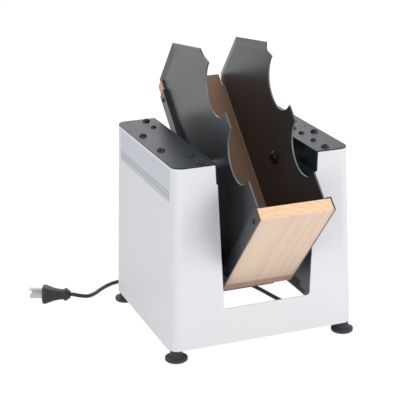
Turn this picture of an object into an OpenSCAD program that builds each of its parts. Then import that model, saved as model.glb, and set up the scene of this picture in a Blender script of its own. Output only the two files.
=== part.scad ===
// Single-bin vibrating paper jogger.
// A tilted L-shaped bin of two wooden boards and two sheet-metal sides hangs on two pivot bolts
// in the gap between the two pods of a sheet-metal housing, and a small motor with an eccentric
// weight under the bin shakes it. Front is -Y, the power cord lies on the floor behind.

/* [Housing] */
// Width of the left pod at the shell's rim
left_pod_w = 55; // [50:0.5:66]
// Width of the right pod at the shell's rim
right_pod_w = 45.8; // [45:0.1:60]
// Depth of the housing, front to back
housing_d = 232; // [210:1:270]
// Height of the sheet-metal shell
shell_h = 239; // [215:1:280]
// Thickness of the shell's sheet
shell_t = 1.5; // [1:0.1:2.5]
// Angle at which the pods' walls lean in towards the top
wall_draft = 2.3; // [0.5:0.1:3.5]
// Radius of the shell's upright corners
corner_r = 14; // [8:1:22]
// Height of the cross strip that joins the pods, front and back
strip_h = 48; // [36:1:60]
// Radius of the opening's lower corners
opening_r = 4; // [1:0.5:8]
// Width of the flange that is turned in at the shell's foot
foot_flange_w = 22; // [18:1:28]
// Width of the flange that is turned in at the shell's rim
rim_flange_w = 17; // [16:0.2:17.4]
// Clearance that the rim's flange keeps round a carrier rail
rail_gap = 0.5; // [0.4:0.1:0.7]

/* [Gap between the pods] */
// Clear width of the gap at the shell's rim
gap_w = 134; // [126:1:146]

/* [Pod covers] */
// Thickness of a top plate
top_plate_t = 1.5; // [1:0.1:3]
// Depth of the skirt that a top plate turns down into the gap
skirt_h = 26; // [16:1:36]
// Thickness of an inner wall
inner_wall_t = 1.2; // [0.8:0.1:2]
// Height of an inner wall's lower edge above the shell's foot
inner_wall_rise = 55; // [50:1:80]
// How far an inner wall reaches up behind the skirt
inner_wall_lap = 10; // [6:1:16]
// Distance from a pod's inner edge to its inner row of screws
inner_row = 17; // [14:0.5:20]
// Distance from a pod's outer edge to its outer row of screws
outer_row = 11; // [8:0.5:14]
// Head diameter of a cover screw
cover_head_d = 10; // [8:0.5:12]
// Shank diameter of a cover screw
cover_shank_d = 5; // [4:0.5:6]
// Head diameter of a rail screw
rail_head_d = 7.6; // [6:0.2:9]
// Shank diameter of a rail screw
rail_shank_d = 4; // [3:0.5:5]
// Length of a cover screw's shank
cover_shank_l = 12; // [8:1:16]
// Distance of the end cover screws from the pod's ends
end_screw_in = 13; // [12:0.5:14]
// Distance of the outer cover screws from the pod's middle
side_screw_y = 35.5; // [25:0.5:50]
// Distance of the rail screws from the pod's middle
rail_screw_y = 70.5; // [60:0.5:80]

/* [Feet] */
// Height of a rubber foot
foot_h = 15; // [12:0.5:22]
// Diameter of a foot's pad
foot_d = 29; // [24:0.5:36]
// Diameter of a foot's neck
foot_neck_d = 16; // [13:0.5:18]
// Height of the flared pad
foot_pad_h = 6; // [4:0.5:8]
// Distance of a foot's centre from the housing's sides
foot_inset = 10.5; // [10:0.5:15]
// Diameter of the foot screw
foot_screw_d = 5; // [4:0.5:6]

/* [Bin] */
// Slope of the bin's floor, which rises towards the front
bin_slope = 47.5; // [40:0.5:50]
// How far the bin's inner corner lies behind the housing's front
corner_setback = 36; // [26:1:46]
// Thickness of the boards
board_t = 16; // [12:0.5:20]
// Length of the boards across the bin
board_w = 95; // [91:1:110]
// Depth of the floor board in front of the back board
floor_len = 170; // [150:1:190]
// Height of the back board above the floor board
back_len = 303; // [290:1:330]
// Depth of the slots in the back board's top edge
slot_depth = 18; // [12:1:24]
// Width of those slots
slot_w = 7.5; // [5:0.5:9]

/* [Bin sides] */
// Thickness of a side plate
plate_t = 2; // [1.5:0.1:3]
// Clear width between the side plates
bin_w = 84; // [78:0.5:86]
// Depth of a side plate in front of the back board
plate_len = 163; // [155:1:170]
// Height of a side plate's upper fold above the floor board
plate_top = 299; // [285:1:310]
// Length of the straight upper fold
top_fold_len = 76; // [60:1:90]
// Height at which the sloping fold meets the front edge
front_fold_h = 232; // [222:1:245]
// How far the plate's upper end reaches back into the board's slots
plate_tail = 7; // [4:0.5:10]
// Width of the flared lip
lip_w = 9; // [6:0.5:12]
// How far the lip flares outwards
lip_flare = 2.5; // [1:0.5:4]
// Radius of the two hand notches
notch_r = 37.5; // [30:0.5:40]
// Height of the lower notch's centre
notch_low = 79; // [70:1:84]
// Distance between the notches' centres
notch_pitch = 98.5; // [92:0.5:110]
// Head diameter of a board screw
board_head_d = 6.6; // [5:0.2:8]
// Shank diameter of a board screw
board_shank_d = 3; // [2.5:0.1:4]
// Length of a board screw's shank
board_shank_l = 22; // [16:1:30]

/* [Pivot] */
// Height of the shell's rim above the pivot
pivot_drop = 25; // [22:0.5:32]
// Distance of the pivot in front of the back board
pivot_a = 72; // [60:1:84]
// Height of the pivot above the floor board
pivot_b = 119; // [108:1:130]
// Diameter of a pivot bolt
pivot_d = 8; // [6:0.5:10]
// Diameter of a pivot bolt's domed head
pivot_head_d = 18; // [14:0.5:22]
// Height of that head
pivot_head_h = 6; // [4:0.5:8]
// Radial clearance of a bolt in its bush
pivot_clear = 0.05; // [0.02:0.01:0.1]
// Outer diameter of the steel sleeve in a bush
sleeve_d = 14; // [12:0.5:16]
// Outer diameter of a rubber bush
bush_d = 30; // [24:0.5:34]
// Length of a rubber bush
bush_l = 20; // [16:0.5:24]
// Distance from the gap's edge to a bush's middle
bush_in = 22; // [19:0.5:24]
// Wall of the boss that holds a bush
boss_wall = 3; // [2:0.5:4]
// End play between a bush's sleeve and the parts beside it
end_play = 0.4; // [0.3:0.1:0.8]
// Outer diameter of a spacer tube
spacer_d = 14; // [12:0.5:16]
// Diameter of the hole in a pod's inner wall round the spacer
wall_hole_d = 26; // [22:1:32]
// Width of a pivot nut across its flats
nut_af = 13; // [11:0.5:15]
// Thickness of a carrier rail
rail_t = 3; // [2:0.5:4]
// Width of a carrier rail's flange
rail_w = 22; // [16:0.5:22.5]
// Length of a carrier rail
rail_l = 165; // [155:1:190]

/* [Motor] */
// Diameter of the motor's can
motor_d = 60; // [50:1:66]
// Length of the can
motor_l = 46; // [40:1:50]
// Thickness of an end cap
cap_t = 7; // [5:0.5:9]
// Diameter of the shaft
shaft_d = 8; // [6:0.5:10]
// Radial clearance of the shaft in its bearings
shaft_clear = 0.05; // [0.02:0.01:0.1]
// Outer diameter of a bearing
bearing_d = 18; // [16:0.5:22]
// Height of the motor's axis above the floor board
motor_b = 56; // [48:1:80]
// Gap between the can and the bracket's plate
motor_gap = 1.5; // [1:0.5:4]
// Thickness of the motor's bracket
bracket_t = 3; // [2:0.5:4]
// Width of the bracket's plate
bracket_w = 70; // [64:1:74]
// Height of the bracket's plate
bracket_h = 116; // [106:1:140]
// Radius of the eccentric weight
weight_r = 22; // [16:1:26]
// Thickness of the eccentric weight
weight_t = 14; // [10:1:16]

/* [Control] */
// Diameter of the speed knob
knob_d = 34; // [26:1:40]
// Height of the speed knob
knob_h = 16; // [12:1:22]
// Height of the knob's axis above the shell's foot
knob_rise = 150; // [110:1:180]
// Diameter of the control's spindle
spindle_d = 6; // [5:0.5:8]
// Radial clearance of the spindle in its control
spindle_clear = 0.05; // [0.02:0.01:0.1]
// Diameter of the control's case
control_d = 30; // [24:1:34]
// Depth of the control's case
control_l = 24; // [18:1:34]

/* [Power cord] */
// Diameter of the power cord
cord_d = 5.5; // [5:0.1:6]
// Height of the strain relief's bracket above the shell's foot
cord_bracket_rise = 46; // [42:1:50]
// Width of that bracket
cord_bracket_w = 36; // [28:1:44]
// How far it reaches in past the cord
cord_bracket_in = 16; // [12:1:18]
// Height of the flange that holds it to the shell
cord_bracket_h = 20; // [14:1:26]
// Length of the strain relief's tapered tail
relief_l = 24; // [20:1:26]
// Turns of the stored coil in each of its two layers
coil_turns = 2.75; // [2.25:0.5:3.25]
// Radius of the coil's innermost turn
coil_r = 25; // [24:0.5:28]
// Distance between two neighbouring turns, centre to centre
coil_pitch = 6.8; // [6.8:0.1:7.4]
// Length of the plug's body
plug_l = 38; // [34:1:44]
// Diameter of the plug's face
plug_d = 26; // [24:0.5:28]
// Length of the plug's blades
blade_l = 17.5; // [15.5:0.1:18.5]

/* [Hidden] */
$fn = 48;
eps = 0.01;
thread_fit = 0.2;
sheet_gap = 0.3;

// Heights
foot_z = foot_h;
rim_z = foot_z + shell_h;
cover_z = rim_z + top_plate_t;
lean = tan(wall_draft);
top_w = left_pod_w + gap_w + right_pod_w;
housing_w = top_w + 2 * shell_h * lean;
// How far the gap lies to the right of the housing's middle
gap_shift = (left_pod_w - right_pod_w) / 2;
// How far cutting bodies reach past what they cut
over_reach = 30;

// The bin in its own upright frame: X across, the floor board runs to -Y, the back board up +Z.
bin_front = floor_len * cos(bin_slope) + board_t * sin(bin_slope);
bin_back = back_len * sin(bin_slope) + board_t * cos(bin_slope);

// The origin stands under the middle of the housing and bin together.
reach_front = min(0, corner_setback - bin_front);
reach_back = max(housing_d, corner_setback + bin_back);
front_y = -(reach_front + reach_back) / 2;
back_y = front_y + housing_d;
pod_y = front_y + housing_d / 2;

// The pivot axis, and the bin's inner corner below it
pivot_z = rim_z - pivot_drop;
corner = [gap_shift, front_y + corner_setback, pivot_z - pivot_a * sin(bin_slope) - pivot_b * cos(bin_slope)];
pivot_y = corner.y - pivot_a * cos(bin_slope) + pivot_b * sin(bin_slope);

// Places across, measured from the gap's middle
half_gap = gap_w / 2;
bush_x = half_gap + bush_in;
plate_in = bin_w / 2;
plate_out = plate_in + plate_t;
lap_in = board_w / 2;
lap_out = lap_in + plate_t;
rail_x = half_gap + inner_row;

// Half the gap's width at a height
function gap_half(z) = half_gap - (rim_z - z) * lean;
// Half the housing's width at a height
function side_half(z) = top_w / 2 + (rim_z - z) * lean;

// Puts what was drawn in the bin's upright frame into its tilted place
module in_bin() {
    translate(corner) rotate([-bin_slope, 0, 0]) children();
}

// Mirrors a part of the right side to the left of the gap's middle
module on_side(side) {
    translate([gap_shift, 0, 0]) scale_x(side) children();
}

module scale_x(side) {
    if (side > 0) children();
    else mirror([1, 0, 0]) children();
}

module rounded_plan(w, d, r) {
    translate([0, pod_y]) {
        square([w - 2 * r, d], center = true);
        square([w, d - 2 * r], center = true);
        for (x = [-1, 1], y = [-1, 1])
            translate([x * (w / 2 - r), y * (d / 2 - r)]) circle(r);
    }
}

// Cylinder along X, from x = 0 to the length
module rod_x(d, l) {
    rotate([0, 90, 0]) cylinder(d = d, h = l);
}

// Domed head on the plane z = 0, drawn as a revolved cap
module dome(d, h) {
    rim = h / 4;
    r = (d * d / 4 + (h - rim) * (h - rim)) / (2 * (h - rim));
    intersection() {
        cylinder(d = d, h = h);
        translate([0, 0, h - r]) sphere(r);
    }
}

module tube(od, id, h) {
    difference() {
        cylinder(d = od, h = h);
        translate([0, 0, -1]) cylinder(d = id, h = h + 2);
    }
}

/* ---- Housing ---- */

// Solid block between two heights: plumb in front and at the back, its sides leaning in
module tapered_block(inset, z0, z1) {
    intersection() {
        translate([-housing_w, front_y - 10, z0]) cube([2 * housing_w, housing_d + 20, z1 - z0]);
        for (side = [-1, 1]) scale_x(side) translate([side_half(foot_z), 0, foot_z])
            rotate([0, -wall_draft, 0]) translate([0, 0, -over_reach])
            linear_extrude(shell_h + 2 * over_reach) half_plan(inset);
    }
}

// The right half of the shell's plan and a little more, its outer edge at x = 0
module half_plan(inset) {
    r = corner_r - inset;
    d = housing_d - 2 * inset;
    w = housing_w / 2 + 10;
    translate([-w, pod_y - d / 2]) square([w - corner_r, d]);
    translate([-w, pod_y - d / 2 + r]) square([w - inset, d - 2 * r]);
    for (y = [-1, 1]) translate([-corner_r, pod_y + y * (d / 2 - r)]) circle(r);
}

// The gap seen from the front, from a height up past the rim
module gap_outline(z0, grow) {
    z1 = rim_z + 20;
    translate([gap_shift, 0]) polygon([
        [-gap_half(z0) - grow, z0], [gap_half(z0) + grow, z0],
        [gap_half(z1) + grow, z1], [-gap_half(z1) - grow, z1],
    ]);
}

module gap_opening() {
    z0 = foot_z + strip_h;
    difference() {
        gap_outline(z0, 0);
        for (side = [-1, 1]) translate([gap_shift + side * gap_half(z0), z0]) scale([side, 1])
            translate([-opening_r, 0]) difference() {
                square([2 * opening_r, opening_r]);
                translate([0, opening_r]) circle(opening_r);
                translate([-opening_r, 0]) square([opening_r, opening_r]);
            }
    }
}

module foot_places() {
    for (x = [-1, 1], y = [front_y + foot_inset, back_y - foot_inset])
        translate([x * (housing_w / 2 - foot_inset), y, 0]) children();
}

module cover_screw_places(side) {
    edge_x = side * (top_w / 2 - outer_row);
    for (y = [-1, 1]) {
        translate([gap_shift + side * rail_x, pod_y + y * (housing_d / 2 - end_screw_in), 0]) children();
        translate([edge_x, pod_y + y * side_screw_y, 0]) children();
    }
}

module rim_flange() {
    difference() {
        translate([0, 0, rim_z - shell_t]) linear_extrude(shell_t) difference() {
            rounded_plan(top_w - shell_t, housing_d - shell_t, corner_r - shell_t / 2);
            rounded_plan(top_w - 2 * rim_flange_w, housing_d - 2 * rim_flange_w, corner_r / 2);
        }
        for (side = [-1, 1]) {
            cover_screw_places(side) translate([0, 0, rim_z - 5]) cylinder(d = cover_shank_d, h = 10);
            translate([gap_shift + side * rail_x, pod_y, rim_z])
                cube([rail_w + 2 * rail_gap, rail_l + 2 * rail_gap, 10], center = true);
        }
    }
}

module foot_flange() {
    translate([0, 0, foot_z]) linear_extrude(shell_t) difference() {
        rounded_plan(housing_w - shell_t, housing_d - shell_t, corner_r - shell_t / 2);
        rounded_plan(housing_w - 2 * foot_flange_w, housing_d - 2 * foot_flange_w, corner_r / 2);
        for (x = [-1, 1], y = [front_y + foot_inset, back_y - foot_inset])
            translate([x * (housing_w / 2 - foot_inset), y]) circle(d = foot_screw_d);
    }
}

module housing_shell() color("gainsboro") {
    difference() {
        union() {
            difference() {
                tapered_block(0, foot_z, rim_z - eps);
                tapered_block(shell_t, foot_z - 1, rim_z + 1);
            }
            rim_flange();
        }
        translate([0, back_y + 10, 0]) rotate([90, 0, 0]) linear_extrude(housing_d + 20) gap_opening();
        for (side = [-1, 1]) on_side(side) translate([0, back_y + 10, 0]) rotate([90, 0, 0])
            linear_extrude(housing_d + 20) skirt_slot();
        translate([knob_x, back_y - 10, knob_z]) rotate([-90, 0, 0]) cylinder(d = bushing_d, h = 20);
    }
    foot_flange();
}

// A top plate lies on the rim and turns down into the gap as a skirt.
module top_plate(side) color([0.2, 0.21, 0.23]) {
    difference() {
        union() {
            translate([0, 0, rim_z]) linear_extrude(top_plate_t) intersection() {
                rounded_plan(top_w, housing_d, corner_r);
                translate([gap_shift + side * (half_gap + housing_w / 2), pod_y])
                    square([housing_w, housing_d + 2], center = true);
            }
            on_side(side) translate([0, back_y, 0]) rotate([90, 0, 0]) linear_extrude(housing_d)
                skirt_outline();
        }
        cover_screw_places(side) translate([0, 0, rim_z - 1]) cylinder(d = cover_shank_d, h = 10);
        rail_screw_places(side) translate([0, 0, rim_z - 1]) cylinder(d = rail_shank_d, h = 10);
        if (side > 0) for (y = spare_hole_y)
            translate([top_w / 2 - outer_row, pod_y + y, rim_z - 1]) cylinder(d = spare_hole_d, h = 10);
        on_side(side) wall_hole();
    }
}

module skirt_outline() {
    z0 = cover_z - skirt_h;
    polygon([
        [gap_half(z0), z0], [gap_half(z0) + top_plate_t, z0],
        [gap_half(rim_z) + top_plate_t, rim_z + eps], [gap_half(rim_z), rim_z + eps],
    ]);
}

// The shell's sheet is cut away where the skirt runs through it.
module skirt_slot() {
    z0 = cover_z - skirt_h - sheet_gap;
    z1 = rim_z + over_reach;
    x = top_plate_t + sheet_gap;
    polygon([[gap_half(z0) - 1, z0], [gap_half(z0) + x, z0], [gap_half(z1) + x, z1], [gap_half(z1) - 1, z1]]);
}

// Hole through which a pivot's spacer reaches into a pod
module wall_hole() translate([half_gap - over_reach, pivot_y, pivot_z]) rod_x(wall_hole_d, 2 * over_reach);

// An inner wall closes a pod towards the gap, behind the skirt and the shell's front and back.
module inner_wall(side) color([0.3, 0.34, 0.36]) on_side(side) difference() {
    inside = shell_t + sheet_gap;
    intersection() {
        leaning_slab(0, wall_flange_w, inside);
        wall_outline();
    }
    leaning_slab(inner_wall_t, wall_flange_w, inside + inner_wall_t);
    wall_hole();
}

// Slab that leans with the gap's side, its face a distance behind the inner wall's
module leaning_slab(behind, w, inside) {
    x = top_plate_t + sheet_gap + behind;
    high = rim_z + 10;
    translate([0, back_y - inside, 0]) rotate([90, 0, 0]) linear_extrude(housing_d - 2 * inside) polygon([
        [gap_half(0) + x, 0], [gap_half(0) + x + w, 0], [gap_half(high) + x + w, high], [gap_half(high) + x, high],
    ]);
}

// Outline of an inner wall seen from the gap, with its lower edge stepped down at both ends
module wall_outline() {
    low = foot_z + inner_wall_rise;
    top = cover_z - skirt_h + inner_wall_lap;
    half = [
        [0, low], [housing_d / 2 - wall_steps[0].x, low], [housing_d / 2 - wall_steps[0].x, low - wall_steps[0].y],
        [housing_d / 2 - wall_steps[1].x, low - wall_steps[0].y],
        [housing_d / 2 - wall_steps[1].x, low - wall_steps[1].y], [housing_d / 2, low - wall_steps[1].y],
        [housing_d / 2, top], [0, top],
    ];
    for (y = [-1, 1]) translate([0, pod_y, 0]) rotate([90, 0, 90]) linear_extrude(housing_w)
        scale([y, 1]) translate([-eps, 0]) polygon(half);
}

// Steps at the ends of an inner wall's lower edge: distance from the end, and how far each reaches down
wall_steps = [[33, 8], [18, 14]];
wall_flange_w = 8;
spare_hole_y = [20.5, -5.5];
spare_hole_d = 3.2;
rail_extra_y = [-34, -9];

module rail_screw_places(side) {
    ys = concat([-rail_screw_y, rail_screw_y], side > 0 ? rail_extra_y : []);
    for (y = ys) translate([gap_shift + side * rail_x, pod_y + y, 0]) children();
}

module cover_screws(side) color([0.08, 0.08, 0.09]) cover_screw_places(side) {
    translate([0, 0, cover_z]) dome(cover_head_d, 3.4);
    translate([0, 0, cover_z - cover_shank_l]) cylinder(d = cover_shank_d, h = cover_shank_l);
}

module rail_screws(side) color([0.08, 0.08, 0.09]) rail_screw_places(side) {
    translate([0, 0, cover_z]) dome(rail_head_d, 2.6);
    translate([0, 0, cover_z - rail_shank_l]) cylinder(d = rail_shank_d, h = rail_shank_l);
}

rail_shank_l = top_plate_t + rail_t + 2.5;

// A carrier rail hangs under the top plate and holds a rubber bush in its boss.
module carrier_rail(side) color("dimgray") {
    difference() {
        on_side(side) {
            translate([rail_x - rail_w / 2, pod_y - rail_l / 2, rim_z - rail_t]) cube([rail_w, rail_l, rail_t]);
            difference() {
                union() {
                    translate([bush_x - rail_t / 2, pivot_y - web_w / 2, pivot_z])
                        cube([rail_t, web_w, rim_z - rail_t / 2 - pivot_z]);
                    translate([bush_x - rail_t / 2, pivot_y, pivot_z]) rod_x(web_w, rail_t);
                    translate([bush_x - boss_l / 2, pivot_y, pivot_z]) rod_x(boss_d, boss_l);
                }
                translate([bush_x - bush_l, pivot_y, pivot_z]) rod_x(bush_d, 2 * bush_l);
            }
        }
        rail_screw_places(side) translate([0, 0, rim_z - rail_t - 1]) cylinder(d = rail_shank_d, h = rail_t + 2);
    }
}

boss_d = bush_d + 2 * boss_wall;
boss_l = bush_l - 6;
web_w = boss_d + 6;

module rubber_bush(side) color([0.1, 0.1, 0.1]) on_side(side)
    translate([bush_x - bush_l / 2, pivot_y, pivot_z]) rotate([0, 90, 0]) tube(bush_d, sleeve_d, bush_l);

module bush_sleeve(side) color("silver") on_side(side)
    translate([bush_x - bush_l / 2 - 1, pivot_y, pivot_z]) rotate([0, 90, 0])
        tube(sleeve_d, pivot_d + 2 * pivot_clear, bush_l + 2);

/* ---- Feet ---- */

module foot(x, back) color([0.08, 0.09, 0.1])
    translate([x * (housing_w / 2 - foot_inset), back ? back_y - foot_inset : front_y + foot_inset, 0])
        difference() {
            rotate_extrude() polygon([
                [0, 0], [foot_d / 2 - 1, 0], [foot_d / 2, 1], [foot_d / 2, foot_pad_h - 2],
                [foot_neck_d / 2 + 1, foot_pad_h], [foot_neck_d / 2, foot_pad_h + 1],
                [foot_neck_d / 2, foot_h], [0, foot_h],
            ]);
            translate([0, 0, foot_recess_h]) cylinder(d = foot_screw_d, h = foot_h);
            translate([0, 0, -1]) cylinder(d = foot_recess_d, h = foot_recess_h + 1);
        }

foot_recess_d = 12;
foot_recess_h = 5;

module foot_screws() color("silver") foot_places() {
    translate([0, 0, foot_recess_h - 3]) cylinder(d = foot_recess_d - 2, h = 3);
    translate([0, 0, foot_recess_h - eps]) cylinder(d = foot_screw_d, h = foot_h + shell_t + 6 - foot_recess_h);
    translate([0, 0, foot_z + shell_t]) cylinder(d = 9, h = 4, $fn = 6);
}

/* ---- Bin ---- */

module floor_board() color([0.87, 0.72, 0.53]) in_bin() difference() {
    translate([-board_w / 2, -floor_len, -board_t]) cube([board_w, floor_len, board_t]);
    board_screw_holes();
}

module back_board() color([0.84, 0.68, 0.5]) in_bin() difference() {
    translate([-board_w / 2, 0, -board_t]) cube([board_w, board_t, back_len + board_t]);
    slot_x = plate_out + lip_flare / 2 + 0.5 - slot_w / 2;
    for (x = [-1, 1]) translate([x * slot_x, board_t / 2, back_len])
        cube([slot_w, board_t + 2, 2 * slot_depth], center = true);
    board_screw_holes();
    bracket_bolt_places() rotate([90, 0, 0]) cylinder(d = bracket_bolt_d, h = bracket_t + board_t - 3);
}

module board_screw_holes() for (side = [-1, 1]) scale_x(side)
    board_screw_places() translate([plate_t - board_shank_l, 0, 0]) rod_x(board_shank_d, board_shank_l);

// Outline of a side plate: y is the distance in front of the back board, z the height.
module plate_outline() {
    difference() {
        polygon([
            [0, 0], [plate_len, 0], [plate_len, notch_low + notch_pitch],
            [plate_len, front_notch_top], [front_fold_len, front_fold_h],
            [top_fold_len, plate_top], [-plate_tail, plate_top], [-plate_tail, back_len - slot_depth + 1],
            [0, back_len - slot_depth + 1],
        ]);
        for (z = [notch_low, notch_low + notch_pitch]) translate([plate_len, z]) circle(notch_r);
    }
}

front_notch_top = notch_low + notch_pitch + notch_r + 1;
front_fold_len = plate_len - 8;

// A strip bent outwards from the plate between two points of its edge; the far edge has its own points.
module bent_lip(near_a, near_b, far_a, far_b) {
    function row(p, x) = [[x, -p[0], p[1]], [x + plate_t, -p[0], p[1]]];
    polyhedron(
        points = concat(row(near_a, plate_in), row(near_b, plate_in),
                        row(far_b, plate_in + lip_flare), row(far_a, plate_in + lip_flare)),
        faces = [[6, 4, 2, 0], [1, 3, 5, 7], [2, 3, 1, 0], [4, 5, 3, 2], [6, 7, 5, 4], [0, 1, 7, 6]]);
}

slope_run = front_fold_len - top_fold_len;
slope_drop = plate_top - front_fold_h;
slope_len = sqrt(slope_run * slope_run + slope_drop * slope_drop);
slope_out = [slope_drop / slope_len, slope_run / slope_len];
slope_down = [slope_run / slope_len, -slope_drop / slope_len];
slope_end = [front_fold_len, front_fold_h];

// Point on the mitre between the two lips, at a height over the upper fold
function mitre(h) = [top_fold_len + h * tan(atan2(slope_drop, slope_run) / 2), plate_top + h];

// The side plate steps outwards round the boards and laps their ends.
module side_plate(side) color([0.17, 0.18, 0.2]) in_bin() scale_x(side) difference() {
    lap_top = back_len - slot_depth + 1;
    union() {
        translate([plate_in, 0, 0]) rotate([0, 0, 90]) rotate([90, 0, 0]) mirror([1, 0, 0])
            linear_extrude(plate_t) plate_outline();
        bent_lip([-plate_tail, plate_top - 1], mitre(-1), [-plate_tail, plate_top + lip_w], mitre(lip_w));
        bent_lip(mitre(-1), slope_end - slope_out, mitre(lip_w),
                 slope_end + lip_w * slope_out - lip_w / 2 * slope_down);
        // steps on the boards' faces
        translate([plate_in, -floor_len, 0]) cube([lap_out - plate_in, floor_len, plate_t]);
        translate([plate_in, -plate_t, 0]) cube([lap_out - plate_in, plate_t, lap_top]);
        // laps over the boards' ends
        translate([lap_in, -floor_len, -board_t]) cube([plate_t, floor_len + board_t, board_t + plate_t]);
        translate([lap_in, -plate_t, -board_t]) cube([plate_t, board_t + plate_t, board_t + lap_top]);
    }
    translate([plate_in - 5, -pivot_a, pivot_b]) rod_x(pivot_d + 2 * thread_fit, plate_t + 10);
    board_screw_places() translate([-1, 0, 0]) rod_x(board_shank_d, plate_t + 2);
}

board_screw_a = [15, 84, 153];
board_screw_b = [45, 160, 275];

// Screw places on the outer face of the lap, in the bin's upright frame of the right side
module board_screw_places() {
    for (a = board_screw_a) translate([lap_in, -a, -board_t / 2]) children();
    for (b = board_screw_b) translate([lap_in, board_t / 2, b]) children();
}

module board_screws() color([0.08, 0.08, 0.09]) in_bin() for (side = [-1, 1]) scale_x(side)
    board_screw_places() {
        translate([plate_t, 0, 0]) rotate([0, 90, 0]) dome(board_head_d, 2.2);
        translate([plate_t - board_shank_l, 0, 0]) rod_x(board_shank_d, board_shank_l);
    }

/* ---- Pivot ---- */

module at_pivot(side, x) {
    in_bin() scale_x(side) translate([x, -pivot_a, pivot_b]) rotate([0, 90, 0]) children();
}

nut_h = 5;
bush_end = bush_x - bush_l / 2 - 1;
bolt_end = bush_x + bush_l / 2 + 1 + end_play + nut_h;

module pivot_bolt(side) color([0.1, 0.1, 0.11]) {
    at_pivot(side, plate_in) mirror([0, 0, 1]) dome(pivot_head_d, pivot_head_h);
    at_pivot(side, plate_in - eps) cylinder(d = pivot_d, h = bolt_end - plate_in + eps);
}

module pivot_spacer(side) color("silver")
    at_pivot(side, plate_out) tube(spacer_d, pivot_d + thread_fit, bush_end - end_play - plate_out);

module pivot_nut(side) color("silver") at_pivot(side, bolt_end - nut_h) difference() {
    cylinder(d = nut_af / cos(30), h = nut_h, $fn = 6);
    translate([0, 0, -1]) cylinder(d = pivot_d, h = nut_h + 2);
}

/* ---- Motor ---- */

bracket_x = -board_w / 2 + plate_t;
motor_y = board_t + bracket_t + motor_gap + motor_d / 2;
motor_x = bracket_x + bracket_t + cap_t;
can_end = motor_x + motor_l + cap_t;
ear_h = motor_d * 0.8;

// A plate on the back board's rear with two ears that hold the motor's end caps
module motor_bracket() color([0.12, 0.12, 0.13]) in_bin() difference() {
    union() {
        translate([bracket_x, board_t, -board_t]) cube([bracket_w, bracket_t, bracket_h]);
        for (x = [bracket_x, can_end]) hull() {
            translate([x, board_t, motor_b - ear_h / 2]) cube([bracket_t, bracket_t, ear_h]);
            translate([x, motor_y, motor_b]) rod_x(bearing_d + 16, bracket_t);
        }
    }
    for (x = [bracket_x, can_end]) translate([x - 1, motor_y, motor_b]) rod_x(bearing_d, bracket_t + 2);
    bracket_bolt_places() rotate([90, 0, 0]) cylinder(d = bracket_bolt_d, h = 20, center = true);
}

bracket_bolt_d = 5;
bracket_bolt_z = [-8, bracket_h - board_t - 10];

module bracket_bolt_places() {
    for (x = [12, bracket_w - 12], z = bracket_bolt_z)
        translate([bracket_x + x, board_t + bracket_t, z]) children();
}

module bracket_bolts() color("silver") in_bin() bracket_bolt_places() {
    rotate([-90, 0, 0]) cylinder(d = 9.2, h = 4, $fn = 6);
    rotate([90, 0, 0]) cylinder(d = bracket_bolt_d, h = bracket_t + board_t - 3);
}

module motor_can() color([0.35, 0.36, 0.38]) in_bin() translate([motor_x, motor_y, motor_b])
    rotate([0, 90, 0]) tube(motor_d, motor_d - 3, motor_l);

module motor_end_caps() color("silver") in_bin() for (x = [motor_x - cap_t, motor_x + motor_l])
    translate([x, motor_y, motor_b]) rotate([0, 90, 0]) tube(motor_d, bearing_d, cap_t);

module motor_bearings() color([0.72, 0.6, 0.35]) in_bin()
    for (x = [motor_x - cap_t - bracket_t, motor_x + motor_l])
        translate([x, motor_y, motor_b]) rotate([0, 90, 0])
            tube(bearing_d, shaft_d + 2 * shaft_clear, cap_t + bracket_t);

weight_x = can_end + bracket_t + 2;

module motor_shaft() color("silver") in_bin() translate([motor_x - cap_t - 2, motor_y, motor_b]) {
    rod_x(shaft_d, weight_x + weight_t - motor_x + cap_t + 4);
    translate([cap_t + 6, 0, 0]) rod_x(motor_d - 8, motor_l - 8);
}

module eccentric_weight() color([0.5, 0.5, 0.52]) in_bin() translate([weight_x, motor_y, motor_b])
    rotate([0, 90, 0]) difference() {
        union() {
            cylinder(d = shaft_d + 8, h = weight_t);
            intersection() {
                cylinder(r = weight_r, h = weight_t);
                translate([0, -weight_r, -1]) cube([weight_r, 2 * weight_r, weight_t + 2]);
            }
        }
        translate([0, 0, -1]) cylinder(d = shaft_d, h = weight_t + 2);
    }

/* ---- Control ---- */

bushing_d = 10;
knob_x = (gap_shift + half_gap + top_w / 2) / 2;
knob_z = foot_z + knob_rise;

module at_knob(y) {
    translate([knob_x, back_y + y, knob_z]) rotate([-90, 0, 0]) children();
}

module speed_control() color([0.15, 0.25, 0.45]) at_knob(-shell_t - control_l) difference() {
    union() {
        cylinder(d = control_d, h = control_l);
        cylinder(d = bushing_d, h = control_l + shell_t + knob_gap - 1);
    }
    translate([0, 0, control_l / 2]) cylinder(d = spindle_d + 2 * spindle_clear, h = control_l + 20);
}

module control_nut() color("silver") at_knob(0) difference() {
    cylinder(d = 16, h = 2, $fn = 6);
    translate([0, 0, -1]) cylinder(d = bushing_d, h = 6);
}

module knob_spindle() color("silver") at_knob(-shell_t - control_l / 2 + 0.5)
    cylinder(d = spindle_d, h = control_l / 2 + shell_t + knob_gap + knob_h - 4 - 0.5);

knob_gap = 4;

module speed_knob() color([0.08, 0.08, 0.09]) at_knob(knob_gap) difference() {
    rotate_extrude() polygon([
        [0, 0], [knob_d / 2, 0], [knob_d / 2, 3], [knob_d / 2 - 3, 4.5],
        [knob_d / 2 - 4.5, knob_h - 1], [knob_d / 2 - 5.5, knob_h], [0, knob_h],
    ]);
    translate([0, 0, -1]) cylinder(d = spindle_d, h = knob_h - 3);
    translate([-0.75, -knob_d / 2, knob_h - 1]) cube([1.5, knob_d / 2, 2]);
}

/* ---- Power cord ---- */

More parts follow.
